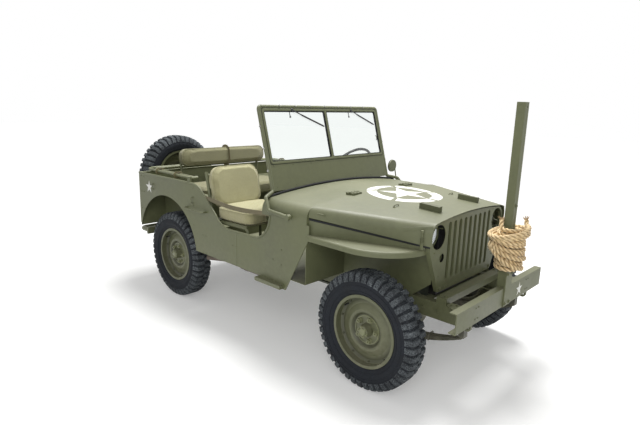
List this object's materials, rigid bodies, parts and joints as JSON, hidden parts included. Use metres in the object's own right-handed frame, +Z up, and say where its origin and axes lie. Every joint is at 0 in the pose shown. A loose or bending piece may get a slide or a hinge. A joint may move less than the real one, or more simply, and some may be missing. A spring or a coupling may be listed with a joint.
{
  "type": "open army 4x4 car",
  "caption": "Open quarter-ton army 4x4 car with folding windscreen, lifting hood, steered front wheels, folded top bows, rear spare wheel and a wire-cutter post with a rope hank",
  "frame": {"origin": "on the ground under the middle of the overall box", "axes": "+X towards the front bumper, +Y towards the driver's left, +Z up"},
  "size_m": [3.408, 1.574, 1.69],
  "materials": {
    "body_paint": "matte olive drab paint",
    "wheel_paint": "matte olive drab paint",
    "tyre_rubber": "dull black rubber",
    "running_gear": "dull dark paint",
    "spring_steel": "dull dark paint",
    "engine_iron": "grey-green paint on cast iron",
    "exhaust_steel": "dull heat-stained steel",
    "radiator_black": "satin black",
    "lamp_glass": "bright reflector behind clear glass",
    "tail_red": "dark red lens in a painted cup",
    "screen_glass": "clear flat glass",
    "black_steel": "satin black",
    "block_wood": "painted wood",
    "canvas": "olive cotton canvas",
    "webbing": "woven cotton webbing",
    "rope": "twisted natural fibre"
  },
  "bodies": {
    "chassis": {"frame": "body_paint", "front_bumper": "body_paint", "wire_cutter": "body_paint", "rope_hank": "rope", "spare_tyre": "tyre_rubber", "spare_wheel": "wheel_paint", "front_axle": "running_gear", "rear_axle": "running_gear", "leaf_springs": "spring_steel", "engine_and_gearbox": "engine_iron", "propeller_shafts": "running_gear", "exhaust": "exhaust_steel", "floor_pan": "body_paint", "wheel_boxes": "body_paint", "body_side_left": "body_paint", "body_side_right": "body_paint", "tail_panel": "body_paint", "cowl": "body_paint", "instrument_panel": "body_paint", "grille": "body_paint", "headlamps": "lamp_glass", "radiator": "radiator_black", "fender_left": "body_paint", "fender_right": "body_paint", "front_seat_frames": "body_paint", "front_seat_cushions": "canvas", "rear_seat_frame": "body_paint", "rear_seat_cushions": "canvas", "fuel_tank": "body_paint", "steering_column": "body_paint", "pedals_and_levers": "black_steel", "rear_bumperettes": "body_paint", "tow_hook": "body_paint", "tail_lamps": "tail_red", "driving_mirror": "body_paint", "door_straps": "webbing"},
    "hood": {"hood": "body_paint", "hood_rest_blocks": "block_wood"},
    "windscreen": {"windscreen_frame": "body_paint", "windscreen_glass": "screen_glass", "wipers": "black_steel"},
    "top_bows": {"top_bows": "body_paint"},
    "steering_wheel": {"steering_wheel": "black_steel"},
    "knuckle_left": {"steering_knuckle_left": "running_gear"},
    "knuckle_right": {"steering_knuckle_right": "running_gear"},
    "road_wheel_front_left": {"wheel_front_left": "wheel_paint", "tyre_front_left": "tyre_rubber"},
    "road_wheel_front_right": {"wheel_front_right": "wheel_paint", "tyre_front_right": "tyre_rubber"},
    "road_wheel_rear_left": {"wheel_rear_left": "wheel_paint", "tyre_rear_left": "tyre_rubber"},
    "road_wheel_rear_right": {"wheel_rear_right": "wheel_paint", "tyre_rear_right": "tyre_rubber"}
  },
  "joints": [
    {"name": "hood_lift", "type": "hinge", "parent": "chassis", "child": "hood", "pos_m": [0.711, 0, 1.081], "axis": [0, 1, 0], "range_deg": [-85, 0]},
    {"name": "windscreen_fold", "type": "hinge", "parent": "chassis", "child": "windscreen", "pos_m": [0.5685, 0, 0.952], "axis": [0, 1, 0], "range_deg": [0, 114]},
    {"name": "top_bows_raise", "type": "hinge", "parent": "chassis", "child": "top_bows", "pos_m": [-0.5715, 0, 1.048], "axis": [0, 1, 0], "range_deg": [0, 92]},
    {"name": "steer_left", "type": "hinge", "parent": "chassis", "child": "knuckle_left", "pos_m": [1.1285, 0.545, 0.358], "axis": [0, 0, 1], "range_deg": [-26, 26]},
    {"name": "steer_right", "type": "hinge", "parent": "chassis", "child": "knuckle_right", "pos_m": [1.1285, -0.545, 0.358], "axis": [0, 0, 1], "range_deg": [-26, 26]},
    {"name": "steering_wheel_turn", "type": "hinge", "parent": "chassis", "child": "steering_wheel", "pos_m": [0.0585, 0.43, 1.105], "axis": [-0.8444, 0.1017, 0.526], "range_deg": [-365, 365]},
    {"name": "front_left_wheel_spin", "type": "hinge", "parent": "knuckle_left", "child": "road_wheel_front_left", "pos_m": [1.1285, 0.6225, 0.358], "axis": [0, 1, 0], "continuous": true},
    {"name": "front_right_wheel_spin", "type": "hinge", "parent": "knuckle_right", "child": "road_wheel_front_right", "pos_m": [1.1285, -0.6225, 0.358], "axis": [0, 1, 0], "continuous": true},
    {"name": "rear_left_wheel_spin", "type": "hinge", "parent": "chassis", "child": "road_wheel_rear_left", "pos_m": [-0.9035, 0.6225, 0.358], "axis": [0, 1, 0], "continuous": true},
    {"name": "rear_right_wheel_spin", "type": "hinge", "parent": "chassis", "child": "road_wheel_rear_right", "pos_m": [-0.9035, -0.6225, 0.358], "axis": [0, 1, 0], "continuous": true}
  ],
  "couplings": [
    {"joint": "steer_right", "follows": "steer_left", "ratio": 1},
    {"joint": "steering_wheel_turn", "follows": "steer_left", "ratio": 14}
  ]
}
